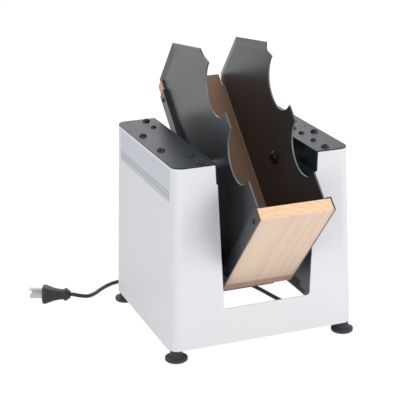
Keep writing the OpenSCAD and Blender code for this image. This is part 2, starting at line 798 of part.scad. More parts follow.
// Places on the floor and up at the strain relief, chosen by hand
relief_x = 92;
relief_y = -26;
bracket_z = foot_z + cord_bracket_rise;
coil_c = [-45, 236];
coil_out = coil_r + coil_turns * coil_pitch;
coil_front = coil_c.y - coil_out;
plug_at = [-192, 149];
plug_turn = 156;

module cord_bracket() color("silver") difference() {
    x0 = relief_x - cord_bracket_in;
    y0 = relief_y - cord_bracket_w / 2;
    wall_gap = shell_t + sheet_gap;
    union() {
        translate([x0, y0, bracket_z]) cube([side_half(bracket_z) - wall_gap - x0, cord_bracket_w, cord_sheet]);
        translate([side_half(bracket_z + cord_bracket_h) - wall_gap - cord_sheet, y0, bracket_z])
            cube([cord_sheet, cord_bracket_w, cord_bracket_h]);
    }
    translate([relief_x, relief_y, bracket_z - 1]) cylinder(d = relief_hole_d, h = cord_sheet + 2);
}

cord_sheet = 2;
relief_hole_d = 12;

module cord_strain_relief() color([0.1, 0.1, 0.11]) translate([relief_x, relief_y, bracket_z])
    difference() {
        rotate_extrude() polygon([
            [0, -relief_l], [cord_d / 2 + 1, -relief_l], [cord_d / 2 + 3, -4], [8.5, -4], [8.5, 0],
            [relief_hole_d / 2, 0], [relief_hole_d / 2, 2], [8, 2], [8, 6], [0, 6],
        ]);
        translate([0, 0, -relief_l - 1]) cylinder(d = cord_d - 2, h = relief_l + 10);
    }

// Cross product made a unit vector, and a vector without its part along another
function unit(v) = v / norm(v);
function square_to(v, t) = unit(v - (v * t) * t);

// One point of a smooth curve through four points, at u from the second to the third
function smooth(p, i, u) = let (
        a = p[max(i - 1, 0)], b = p[i], c = p[i + 1], d = p[min(i + 2, len(p) - 1)],
        m = (c - a) / 2, n = (d - b) / 2, v = u * u, w = v * u)
    (2 * w - 3 * v + 1) * b + (w - 2 * v + u) * m + (3 * v - 2 * w) * c + (w - v) * n;

function smooth_path(p, steps) = concat(
    [for (i = [0:len(p) - 2], s = [0:steps - 1]) smooth(p, i, s / steps)], [p[len(p) - 1]]);

function heading(p, i) = unit(p[min(i + 1, len(p) - 1)] - p[max(i - 1, 0)]);

// A round tube swept along a path, its rings carried on without twist
module swept_tube(path, d, sides, first_side) {
    n = len(path);
    across = [for (i = 0, s = square_to(first_side, heading(path, 0)); i < n;
                   i = i + 1, s = i < n ? square_to(s, heading(path, i)) : s) s];
    rings = [for (i = [0:n - 1], k = [0:sides - 1])
        let (t = heading(path, i), s = across[i], a = 360 * (k + 0.5) / sides)
        path[i] + d / 2 * (cos(a) * s + sin(a) * cross(t, s))];
    walls = [for (i = [0:n - 2], k = [0:sides - 1]) let (
            a = i * sides + k, b = i * sides + (k + 1) % sides)
        each [[a, b, b + sides], [a, b + sides, a + sides]]];
    first_cap = [for (k = [1:sides - 2]) [0, k + 1, k]];
    last_cap = [for (k = [1:sides - 2]) (n - 1) * sides * [1, 1, 1] + [0, k, k + 1]];
    polyhedron(points = rings, faces = concat(walls, first_cap, last_cap));
}

// The lead drops from the strain relief, crosses under the bin and meets the coil.
lead_route = [
    [92, -26, bracket_z - relief_l], [92, -26, 30], [91.5, -24, 19], [90, -16.5, 9], [87.5, -4, 3.6],
    [84.5, 10, 3], [81, 28, 3], [75, 55, 3], [68.5, 85, 3], [60.5, 113, 3], [48, 141, 3], [31, 164, 3],
    [9, 181, 3], [-13, 190, 3], [-29, coil_front, 3], [coil_c.x + cord_d, coil_front, 3],
];

layer_rise = coil_pitch;
coil_z = 3;
top_z = coil_z + layer_rise;

// The tail leaves the coil's upper layer, comes down to the floor and runs to the plug.
tail_route = [
    [coil_c.x - cord_d, coil_front, top_z], [-58, coil_front, top_z], [-73, coil_front, 6.8],
    [-88, coil_front, 3.8], [-103, 192, 3], [-121, 187, 3], [-138, 175.5, 3], [-153, 161, 3.4],
    [-166, 150.5, 5.6], [-178, 146.5, 9.6], [plug_at.x + 3.7, plug_at.y - 1.6, 13], [plug_at.x, plug_at.y, 13],
];

// The coil spirals in on the floor, climbs in the half turn where it reverses, and spirals out on top.
loop_rings = 24;
function coil_point(turn) = let (
        inward = min(turn, coil_turns), outward = max(turn - coil_turns - 0.5, 0),
        climb = min(max((turn - coil_turns) / 0.5, 0), 1),
        r = coil_out - coil_pitch * inward + coil_pitch * outward, a = -90 - 360 * turn)
    [coil_c.x + r * cos(a), coil_c.y + r * sin(a), coil_z + layer_rise * climb];

coil_total = 2 * coil_turns + 0.5;
coil_steps = coil_total * loop_rings;
coil_turned = [for (i = [0:coil_steps]) coil_point(i / loop_rings)];
coil_path = concat(
    [coil_turned[0] + [cord_d, 0, 0]], coil_turned, [coil_turned[coil_steps] - [cord_d, 0, 0]]);

// The least gap between turns, measured on points at least half a turn apart along the tube
coil_gap = min([for (i = [0:coil_steps + 2], j = [i + loop_rings / 2:coil_steps + 2])
    norm(coil_path[i] - coil_path[j])]) - cord_d;

function path_length(p) = len(p) < 2 ? 0 : sum_of([for (i = [1:len(p) - 1]) norm(p[i] - p[i - 1])]);
function sum_of(v) = v * [for (x = v) 1];

module power_cord_lead() color([0.1, 0.1, 0.11]) swept_tube(smooth_path(lead_route, 2), cord_d, 8, [1, 0, 0]);

module power_cord_coil() color([0.1, 0.1, 0.11]) {
    echo(least_gap_in_coil = coil_gap);
    echo(cord_length = path_length(smooth_path(lead_route, 2)) + path_length(coil_path)
        + path_length(smooth_path(tail_route, 2)));
    swept_tube(coil_path, cord_d, 6, [0, 0, 1]);
}

module power_cord_tail() color([0.1, 0.1, 0.11]) swept_tube(smooth_path(tail_route, 2), cord_d, 8, [0, 0, 1]);

module at_plug() {
    translate([plug_at.x, plug_at.y, plug_d / 2]) rotate([0, 0, plug_turn]) rotate([0, 90, 0]) children();
}

// The plug's body, revolved: a small rear collar, a waist and the wide face
module plug_body() color([0.12, 0.13, 0.15]) at_plug() rotate_extrude() polygon([
    [0, 0], [plug_d * 0.24, 0], [plug_d * 0.27, plug_l * 0.1], [plug_d * 0.34, plug_l * 0.14],
    [plug_d * 0.34, plug_l * 0.2], [plug_d * 0.29, plug_l * 0.26], [plug_d * 0.3, plug_l * 0.5],
    [plug_d * 0.4, plug_l * 0.7], [plug_d * 0.48, plug_l * 0.85], [plug_d * 0.5, plug_l * 0.9],
    [plug_d * 0.5, plug_l - 0.8], [plug_d * 0.5 - 0.8, plug_l], [0, plug_l],
]);

blade_w = 6.3;
blade_t = 1.5;
blade_span = 12.7;
ground_d = 4.8;
ground_drop = 8;

module plug_blades() color("silver") at_plug() translate([0, 0, plug_l]) {
    for (y = [-1, 1]) translate([-blade_w / 2, y * blade_span / 2 - blade_t / 2, 0])
        cube([blade_w, blade_t, blade_l]);
    translate([-ground_drop, 0, 0]) cylinder(d = ground_d, h = blade_l + 2);
}

housing_shell();
top_plate(-1);  // left_top_plate
top_plate(1);  // right_top_plate
inner_wall(-1);  // left_inner_wall
inner_wall(1);  // right_inner_wall
cover_screws(-1);  // left_cover_screws
cover_screws(1);  // right_cover_screws
rail_screws(-1);  // left_rail_screws
rail_screws(1);  // right_rail_screws
carrier_rail(-1);  // left_carrier_rail
carrier_rail(1);  // right_carrier_rail
rubber_bush(-1);  // left_rubber_bush
rubber_bush(1);  // right_rubber_bush
bush_sleeve(-1);  // left_bush_sleeve
bush_sleeve(1);  // right_bush_sleeve
foot(-1, false);  // front_left_foot
foot(1, false);  // front_right_foot
foot(-1, true);  // back_left_foot
foot(1, true);  // back_right_foot
foot_screws();
floor_board();
back_board();
side_plate(-1);  // left_side_plate
side_plate(1);  // right_side_plate
board_screws();
pivot_bolt(-1);  // left_pivot_bolt
pivot_bolt(1);  // right_pivot_bolt
pivot_spacer(-1);  // left_pivot_spacer
pivot_spacer(1);  // right_pivot_spacer
pivot_nut(-1);  // left_pivot_nut
pivot_nut(1);  // right_pivot_nut
motor_bracket();
bracket_bolts();
motor_can();
motor_end_caps();
motor_bearings();
motor_shaft();
eccentric_weight();
speed_control();
control_nut();
knob_spindle();
speed_knob();
cord_bracket();
cord_strain_relief();
power_cord_lead();
power_cord_coil();
power_cord_tail();
plug_body();
plug_blades();
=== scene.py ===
"""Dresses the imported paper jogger: enamelled housing, wooden bin, black bin sides, cord and studio."""

import logging
import math
from collections.abc import Callable
from dataclasses import dataclass, field
from enum import Enum

import bmesh
import bpy
import numpy as np
from mathutils import Matrix, Vector


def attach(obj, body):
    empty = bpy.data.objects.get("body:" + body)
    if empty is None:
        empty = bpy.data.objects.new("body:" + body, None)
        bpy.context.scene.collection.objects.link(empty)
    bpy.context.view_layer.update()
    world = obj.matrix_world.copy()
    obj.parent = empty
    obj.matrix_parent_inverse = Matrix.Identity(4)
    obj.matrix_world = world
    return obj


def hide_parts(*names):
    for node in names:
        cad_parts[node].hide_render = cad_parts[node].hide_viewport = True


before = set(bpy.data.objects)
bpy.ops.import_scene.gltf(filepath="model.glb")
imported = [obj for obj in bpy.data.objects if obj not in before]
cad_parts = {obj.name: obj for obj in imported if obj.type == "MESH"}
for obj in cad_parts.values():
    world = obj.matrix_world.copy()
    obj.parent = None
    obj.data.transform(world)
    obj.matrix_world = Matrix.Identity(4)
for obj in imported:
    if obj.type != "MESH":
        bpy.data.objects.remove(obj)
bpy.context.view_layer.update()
LOG = logging.getLogger("paper_jogger")
MM = 0.001
GRID_WELD = 1e-6
"""Vertices of a surface's grids closer than this are one, in metres."""
SOLID_WELD = 2e-6
"""The same for a copy of a node's mesh."""

Colour = tuple[float, float, float]
Point = tuple[float, float, float]


class Body(Enum):
    """The moving bodies that a piece can ride on."""

    HOUSING = "housing"
    BIN = "bin"
    ROTOR = "rotor"
    KNOB = "knob"


# ---------------------------------------------------------------- the machine's own sizes, in millimetres


@dataclass(frozen=True)
class Machine:
    """The sizes that the finishes need, the same ones that the solids were made from.

    slope is the floor board's tilt and draft the lean of the housing's walls, both in degrees. rim_z is
    the top of the shell, cover_z the upper face of the top plates, top_w the housing's width at the rim
    and pointer_y the floor of the groove in the speed knob.
    """

    slope: float = 47.5
    draft: float = 2.3
    rim_z: float = 254.0
    cover_z: float = 255.5
    top_w: float = 234.8
    pointer_y: float = 161.22

    def side_x(self, z: np.ndarray | float) -> np.ndarray | float:
        """Half the housing's width at a height."""
        return self.top_w / 2 + (self.rim_z - z) * math.tan(math.radians(self.draft))


MACHINE = Machine()


# ---------------------------------------------------------------- meshes from arrays


def grid_faces(rows: int, cols: int, wrap_cols: bool, start: int) -> np.ndarray:
    """Quads of a grid of vertices numbered row by row.

    Args:
        rows: number of rows.
        cols: number of vertices in a row.
        wrap_cols: whether each row closes on itself.
        start: number of the grid's first vertex.

    Returns:
        An integer array (quads, 4).
    """
    r = np.arange(rows - 1)[:, None]
    c = np.arange(cols if wrap_cols else cols - 1)[None, :]
    r2, c2 = r + 1, (c + 1) % cols
    quad = np.stack(np.broadcast_arrays(r * cols + c, r * cols + c2, r2 * cols + c2, r2 * cols + c), axis=-1)
    return quad.reshape(-1, 4) + start


class Surface:
    """Gathers grids of points and makes one mesh object of them, in metres, placed in its mesh."""

    def __init__(self, name: str) -> None:
        """Starts an empty surface under the name its object will have."""
        self.name = name
        self.points: list[np.ndarray] = []
        self.faces: list[list[int]] = []
        self.count = 0

    def add_grid(self, grid: np.ndarray, wrap_cols: bool = False) -> None:
        """Adds a grid of points joined by quads.

        Args:
            grid: array (rows, cols, 3), in millimetres.
            wrap_cols: whether each row closes on itself.
        """
        rows, cols = grid.shape[:2]
        self.faces += grid_faces(rows, cols, wrap_cols, self.count).tolist()
        self.points.append(grid.reshape(-1, 3))
        self.count += rows * cols

    def finish(self, smooth_angle: float = 35.0) -> bpy.types.Object:
        """Welds the grids, points the faces outwards and links the object.

        Args:
            smooth_angle: the largest angle in degrees between two faces that still shade as one.

        Returns:
            The new object, at the origin.
        """
        mesh = bpy.data.meshes.new(self.name)
        mesh.from_pydata((np.concatenate(self.points) * MM).tolist(), [], self.faces)
        work = bmesh.new()
        work.from_mesh(mesh)
        bmesh.ops.remove_doubles(work, verts=work.verts, dist=GRID_WELD)
        bmesh.ops.recalc_face_normals(work, faces=work.faces)
        work.to_mesh(mesh)
        work.free()
        shade(mesh, smooth_angle)
        piece = bpy.data.objects.new(self.name, mesh)
        bpy.context.scene.collection.objects.link(piece)
        return piece


def shade(mesh: bpy.types.Mesh, angle: float) -> None:
    """Shades a mesh smooth, with the edges sharper than the angle in degrees left sharp."""
    mesh.polygons.foreach_set("use_smooth", np.ones(len(mesh.polygons), dtype=bool))
    mesh.set_sharp_from_angle(angle=math.radians(angle))
    mesh.update()


def revolve(profile: np.ndarray, sides: int) -> np.ndarray:
    """Turns a profile about Z: each point (r, z) becomes the ring (r cos t, r sin t, z).

    Args:
        profile: array (n, 2) of radius and height.
        sides: number of points in a ring.

    Returns:
        A grid (n, sides, 3).
    """
    t = np.linspace(0, 2 * np.pi, sides, endpoint=False)
    r, z = profile[:, :1], profile[:, 1:]
    return np.stack([r * np.cos(t), r * np.sin(t), np.broadcast_to(z, (len(profile), sides))], axis=-1)


def hex_ring(across: float, sides: int) -> np.ndarray:
    """Radius of a regular hexagon: half its width over the cosine of the angle from a flat's middle.

    Args:
        across: the width over the flats.
        sides: number of evenly spaced angles, the first one at a flat's middle.

    Returns:
        An array (sides,) of radii.
    """
    t = np.linspace(0, 2 * np.pi, sides, endpoint=False)
    off = (t + np.pi / 6) % (np.pi / 3) - np.pi / 6
    return across / 2 / np.cos(off)


# ---------------------------------------------------------------- shader groups


class Kind(Enum):
    """Socket kinds of a shader group."""

    VALUE = "NodeSocketFloat"
    COLOUR = "NodeSocketColor"
    VECTOR = "NodeSocketVector"


class ShaderGroup:
    """A node group with named inputs and outputs, built once and placed in each material."""

    def __init__(self, name: str, inputs: dict[str, Kind], outputs: dict[str, Kind]) -> None:
        """Makes the group's sockets and its input and output nodes."""
        self.tree = bpy.data.node_groups.new(name, "ShaderNodeTree")
        for label, kind in inputs.items():
            self.tree.interface.new_socket(label, in_out="INPUT", socket_type=kind.value)
        for label, kind in outputs.items():
            self.tree.interface.new_socket(label, in_out="OUTPUT", socket_type=kind.value)
        self.source = self.tree.nodes.new("NodeGroupInput")
        self.sink = self.tree.nodes.new("NodeGroupOutput")

    def node(self, kind: str, **settings: object) -> bpy.types.Node:
        """Adds a node and sets its properties."""
        made = self.tree.nodes.new(kind)
        for key, value in settings.items():
            setattr(made, key, value)
        return made

    def link(self, source: object, target: object) -> None:
        """Links two sockets."""
        self.tree.links.new(source, target)

    def value(self, operation: str, a: object, b: object, clamp: bool = False) -> object:
        """Adds a Math node.

        Args:
            operation: what the node does.
            a: a socket or a number.
            b: a socket or a number.
            clamp: whether the result is kept between 0 and 1.

        Returns:
            The node's output.
        """
        made = self.node("ShaderNodeMath", operation=operation, use_clamp=clamp)
        for socket, item in zip(made.inputs, (a, b)):
            if isinstance(item, (int, float)):
                socket.default_value = item
            else:
                self.link(item, socket)
        return made.outputs[0]

    def mixed(self, factor: object, a: object, b: object) -> object:
        """Adds a colour Mix node and gives its output."""
        made = self.node("ShaderNodeMix", data_type="RGBA")
        for socket, item in ((made.inputs[0], factor), (made.inputs[6], a), (made.inputs[7], b)):
            if isinstance(item, (int, float, tuple)):
                socket.default_value = item
            else:
                self.link(item, socket)
        return made.outputs[2]

    def noise(self, vector: object, scale: float, detail: float, roughness: float = 0.55) -> object:
        """Adds a Noise texture.

        Args:
            vector: the socket with the place on the surface.
            scale: cycles in a metre.
            detail: number of finer layers.
            roughness: strength of each finer layer against the one before.

        Returns:
            The texture's factor.
        """
        made = self.node("ShaderNodeTexNoise")
        made.inputs["Scale"].default_value = scale
        made.inputs["Detail"].default_value = detail
        made.inputs["Roughness"].default_value = roughness
        self.link(vector, made.inputs["Vector"])
        return made.outputs[0]

    def vary_roughness(self, texture: object, amount: float) -> None:
        """Adds a share of a texture to the roughness that goes in and links the sum to the output."""
        share = self.value("MULTIPLY", texture, amount)
        total = self.value("ADD", self.source.outputs["Roughness"], share, clamp=True)
        self.link(total, self.sink.inputs["Roughness"])

    def stretched(self, vector: object, scale: Point) -> object:
        """Adds a Mapping node that scales a vector and gives its output."""
        made = self.node("ShaderNodeMapping")
        made.inputs["Scale"].default_value = scale
        self.link(vector, made.inputs["Vector"])
        return made.outputs[0]


def enamel_group() -> ShaderGroup:
    """Sprayed enamel: a fine orange peel, faint blotches of tone and scuffs that dull the gloss."""
    group = ShaderGroup(
        "sprayed_enamel",
        {"Vector": Kind.VECTOR, "Color": Kind.COLOUR, "Worn": Kind.COLOUR, "Roughness": Kind.VALUE,
         "Wear": Kind.VALUE, "Peel": Kind.VALUE},
        {"Color": Kind.COLOUR, "Roughness": Kind.VALUE, "Height": Kind.VALUE},
    )
    put, out = group.source.outputs, group.sink.inputs
    blotch = group.noise(put["Vector"], 14, 3)
    scuff = group.noise(group.stretched(put["Vector"], (1, 1, 0.25)), 160, 4, 0.7)
    mask = group.value("MULTIPLY", group.value("SUBTRACT", scuff, 0.6, clamp=True), 4, clamp=True)
    mask = group.value("MULTIPLY", group.value("MULTIPLY", mask, blotch), put["Wear"], clamp=True)
    tone = group.mixed(group.value("MULTIPLY", blotch, 0.12), put["Color"], put["Worn"])
    group.link(group.mixed(mask, tone, put["Worn"]), out["Color"])
    dull = group.value("ADD", put["Roughness"], group.value("MULTIPLY", blotch, 0.06))
    group.link(group.value("ADD", dull, group.value("MULTIPLY", mask, 0.25), clamp=True), out["Roughness"])
    group.link(group.value("MULTIPLY", group.noise(put["Vector"], 900, 2), put["Peel"]), out["Height"])
    return group


def moulded_group() -> ShaderGroup:
    """Moulded rubber or plastic: a fine stipple with a light bloom of dust in broad patches."""
    group = ShaderGroup(
        "moulded_stipple",
        {"Vector": Kind.VECTOR, "Color": Kind.COLOUR, "Dust": Kind.COLOUR, "Roughness": Kind.VALUE,
         "Stipple": Kind.VALUE},
        {"Color": Kind.COLOUR, "Roughness": Kind.VALUE, "Height": Kind.VALUE},
    )
    put, out = group.source.outputs, group.sink.inputs
    fine = group.noise(put["Vector"], 1400, 3)
    broad = group.noise(put["Vector"], 60, 3)
    bloom = group.value("MULTIPLY", group.value("SUBTRACT", broad, 0.45, clamp=True), 1.4, clamp=True)
    group.link(group.mixed(bloom, put["Color"], put["Dust"]), out["Color"])
    group.vary_roughness(fine, 0.12)
    group.link(group.value("MULTIPLY", fine, put["Stipple"]), out["Height"])
    return group


def brushed_group() -> ShaderGroup:
    """Bare or plated metal: short drawn scratches that shift its tone and gloss."""
    group = ShaderGroup(
        "drawn_metal",
        {"Vector": Kind.VECTOR, "Color": Kind.COLOUR, "Stain": Kind.COLOUR, "Roughness": Kind.VALUE,
         "Scratch": Kind.VALUE},
        {"Color": Kind.COLOUR, "Roughness": Kind.VALUE, "Height": Kind.VALUE},
    )
    put, out = group.source.outputs, group.sink.inputs
    lines = group.noise(group.stretched(put["Vector"], (0.08, 1, 1)), 1600, 2)
    stain = group.noise(put["Vector"], 90, 4)
    group.link(group.mixed(group.value("MULTIPLY", stain, 0.5), put["Color"], put["Stain"]), out["Color"])
    group.vary_roughness(lines, 0.2)
    group.link(group.value("MULTIPLY", lines, put["Scratch"]), out["Height"])
    return group


def wood_group() -> ShaderGroup:
    """Pale softwood: growth rings about Y, drawn-out streaks along Y, fine pores and a soft tone."""
    group = ShaderGroup(
        "sawn_softwood",
        {"Vector": Kind.VECTOR, "Light": Kind.COLOUR, "Dark": Kind.COLOUR, "Roughness": Kind.VALUE},
        {"Color": Kind.COLOUR, "Roughness": Kind.VALUE, "Height": Kind.VALUE},
    )
    put, out = group.source.outputs, group.sink.inputs
    wave = group.node("ShaderNodeTexWave", wave_type="RINGS", rings_direction="Y", wave_profile="SAW")
    for label, amount in (("Scale", 42), ("Distortion", 3.2), ("Detail", 2.0), ("Detail Scale", 0.35)):
        wave.inputs[label].default_value = amount
    group.link(group.stretched(put["Vector"], (1, 0.12, 1)), wave.inputs["Vector"])
    rings = group.value("POWER", wave.outputs["Fac"], 2.6)
    streak = group.noise(group.stretched(put["Vector"], (1, 0.03, 1)), 640, 4, 0.6)
    broad = group.noise(group.stretched(put["Vector"], (1, 0.15, 1)), 22, 2)
    grain = group.value("ADD", group.value("MULTIPLY", rings, 0.26), group.value("MULTIPLY", streak, 0.55))
    tone = group.value("MULTIPLY", group.value("SUBTRACT", broad, 0.5), 0.5)
    grain = group.value("ADD", grain, tone, clamp=True)
    group.link(group.mixed(grain, put["Light"], put["Dark"]), out["Color"])
    group.vary_roughness(streak, 0.15)
    group.link(group.value("SUBTRACT", streak, group.value("MULTIPLY", rings, 0.4)), out["Height"])
    return group


class Effects:
    """The shader groups, each built once."""

    def __init__(self) -> None:
        """Builds every group."""
        self.enamel = enamel_group()
        self.moulded = moulded_group()
        self.metal = brushed_group()
        self.wood = wood_group()


# ---------------------------------------------------------------- finishes


@dataclass(frozen=True)
class Finish:
    """What every finish has: a name, its colours, its gloss and how deep its texture is."""

    name: str
    colour: Colour
    second: Colour
    roughness: float = 0.5
    depth: float = 0.00004
    metallic: float = 0.0
    coat: float = 0.0
    coat_roughness: float = 0.25
    specular: float = 0.5
    sheen_tint: Colour = (1.0, 1.0, 1.0)
    turn: Point = (0.0, 0.0, 0.0)
    shift: Point = (0.0, 0.0, 0.0)
    levels: dict[str, float] = field(default_factory=dict)

    def material(self, group: ShaderGroup, first: str, second: str) -> bpy.types.Material:
        """Makes the material around one shader group.

        Args:
            group: the shader group that varies the finish over the surface.
            first: name of the group's input for the main colour.
            second: name of the group's input for the second colour.

        Returns:
            The new material.
        """
        material = bpy.data.materials.new(self.name)
        material.use_nodes = True
        nodes, links = material.node_tree.nodes, material.node_tree.links
        shader = nodes["Principled BSDF"]
        where = nodes.new("ShaderNodeTexCoord")
        mapping = nodes.new("ShaderNodeMapping")
        mapping.inputs["Rotation"].default_value = self.turn
        mapping.inputs["Location"].default_value = self.shift
        links.new(where.outputs["Object"], mapping.inputs["Vector"])
        effect = nodes.new("ShaderNodeGroup")
        effect.node_tree = group.tree
        links.new(mapping.outputs[0], effect.inputs["Vector"])
        effect.inputs[first].default_value = (*self.colour, 1)
        effect.inputs[second].default_value = (*self.second, 1)
        effect.inputs["Roughness"].default_value = self.roughness
        for label, amount in self.levels.items():
            effect.inputs[label].default_value = amount
        bump = nodes.new("ShaderNodeBump")
        bump.inputs["Distance"].default_value = self.depth
        links.new(effect.outputs["Height"], bump.inputs["Height"])
        links.new(effect.outputs["Color"], shader.inputs["Base Color"])
        links.new(effect.outputs["Roughness"], shader.inputs["Roughness"])
        links.new(bump.outputs["Normal"], shader.inputs["Normal"])
        shader.inputs["Metallic"].default_value = self.metallic
        shader.inputs["Coat Weight"].default_value = self.coat
        shader.inputs["Coat Roughness"].default_value = self.coat_roughness
        shader.inputs["Specular IOR Level"].default_value = self.specular
        shader.inputs["Specular Tint"].default_value = (*self.sheen_tint, 1)
        return material


class Palette:
    """The machine's finishes, each made into a material when the palette is made."""

    def __init__(self, effects: Effects) -> None:
        """Makes each finish's material."""
        enamel, metal = (effects.enamel, "Color", "Worn"), (effects.metal, "Color", "Stain")
        moulded, wood = (effects.moulded, "Color", "Dust"), (effects.wood, "Light", "Dark")
        peel = {"Wear": 0.25, "Peel": 1.0}
        tilt = (math.radians(MACHINE.slope), 0.0, 0.0)
        self.shell = Finish(
            "grey_shell_enamel", (0.63, 0.635, 0.66), (0.56, 0.56, 0.58), 0.42, 0.00003, levels=peel,
        ).material(*enamel)
        self.cover = Finish(
            "black_cover_enamel", (0.009, 0.013, 0.021), (0.03, 0.036, 0.05), 0.34, 0.00004,
            specular=0.12, sheen_tint=(0.75, 0.86, 1.0), levels=peel,
        ).material(*enamel)
        self.inner = Finish(
            "dark_inner_enamel", (0.045, 0.06, 0.066), (0.08, 0.10, 0.105), 0.45, 0.00004, levels=peel,
        ).material(*enamel)
        self.plate = Finish(
            "black_plate_enamel", (0.010, 0.0115, 0.0145), (0.030, 0.033, 0.039), 0.32, 0.00004,
            specular=0.9, sheen_tint=(0.86, 0.93, 1.0), levels={"Wear": 0.5, "Peel": 1.0},
        ).material(*enamel)
        # Lighter grey on the side plates' cut edges: partly bare steel, partly a painted highlight along the
        # edges.
        self.cut_edge = Finish(
            "cut_edge_steel_painted_highlight", (0.13, 0.14, 0.16), (0.05, 0.055, 0.065), 0.45, 0.00002, 0.3,
            levels={"Scratch": 0.8},
        ).material(*metal)
        self.bracket = Finish(
            "black_bracket_enamel", (0.02, 0.02, 0.022), (0.05, 0.05, 0.055), 0.5, 0.00005, levels=peel,
        ).material(*enamel)
        self.motor = Finish(
            "motor_enamel", (0.05, 0.053, 0.06), (0.10, 0.10, 0.11), 0.4, 0.00005, levels=peel,
        ).material(*enamel)
        self.black_steel = Finish(
            "black_oxide_steel", (0.03, 0.03, 0.033), (0.015, 0.015, 0.017), 0.28, 0.00001, 0.7,
            levels={"Scratch": 0.5},
        ).material(*metal)
        self.zinc = Finish(
            "zinc_plated_steel", (0.62, 0.63, 0.66), (0.42, 0.43, 0.45), 0.28, 0.00002, 1.0,
            levels={"Scratch": 1.0},
        ).material(*metal)
        self.cast = Finish(
            "die_cast_aluminium", (0.58, 0.59, 0.61), (0.45, 0.46, 0.48), 0.45, 0.00005, 1.0,
            levels={"Scratch": 1.0},
        ).material(*metal)
        self.bronze = Finish(
            "sintered_bronze", (0.60, 0.42, 0.20), (0.35, 0.24, 0.12), 0.4, 0.00003, 1.0,
            levels={"Scratch": 0.6},
        ).material(*metal)
        self.nickel = Finish(
            "nickel_blade", (0.50, 0.50, 0.49), (0.30, 0.30, 0.30), 0.30, 0.00001, 1.0,
            levels={"Scratch": 0.6},
        ).material(*metal)
        self.rubber = Finish(
            "foot_rubber", (0.018, 0.021, 0.026), (0.05, 0.052, 0.056), 0.62, 0.00006,
            levels={"Stipple": 1.0},
        ).material(*moulded)
        self.jacket = Finish(
            "cord_vinyl", (0.014, 0.014, 0.016), (0.03, 0.03, 0.033), 0.42, 0.00002,
            levels={"Stipple": 0.6},
        ).material(*moulded)
        self.plug = Finish(
            "plug_vinyl", (0.010, 0.012, 0.016), (0.025, 0.027, 0.031), 0.48, 0.00003,
            levels={"Stipple": 0.8},
        ).material(*moulded)
        self.knob = Finish(
            "knob_plastic", (0.015, 0.015, 0.017), (0.035, 0.035, 0.038), 0.4, 0.00003,
            levels={"Stipple": 0.8},
        ).material(*moulded)
        self.pointer = Finish(
            "pointer_paint", (0.75, 0.75, 0.74), (0.6, 0.6, 0.6), 0.5, 0.00002,
            levels={"Stipple": 0.4},
        ).material(*moulded)
        self.control = Finish(
            "control_plastic", (0.02, 0.04, 0.10), (0.05, 0.07, 0.12), 0.4, 0.00003,
            levels={"Stipple": 0.6},
        ).material(*moulded)
        self.floor_board = Finish(
            "floor_board_wood", (0.76, 0.585, 0.455), (0.54, 0.36, 0.235), 0.42, 0.00008, coat=0.15,
            turn=tilt, shift=(0.021, 0.0, 0.055),
        ).material(*wood)
        self.end_grain = Finish(
            "floor_board_end_grain", (0.88, 0.62, 0.41), (0.58, 0.32, 0.17), 0.5, 0.0001, coat=0.1,
            turn=tilt, shift=(0.021, 0.0, 0.055),
        ).material(*wood)
        # The back board is the same pale wood as the floor board, painted darker: painted shade for the shade
        # that falls between the black side plates.
        self.back_board = Finish(
            "back_board_wood_painted_shade", (0.66, 0.40, 0.26), (0.24, 0.12, 0.07), 0.45, 0.00008, coat=0.08,
            turn=(tilt[0] - math.pi / 2, 0.0, 0.0), shift=(-0.013, 0.0, 0.047),
        ).material(*wood)


# ---------------------------------------------------------------- cord


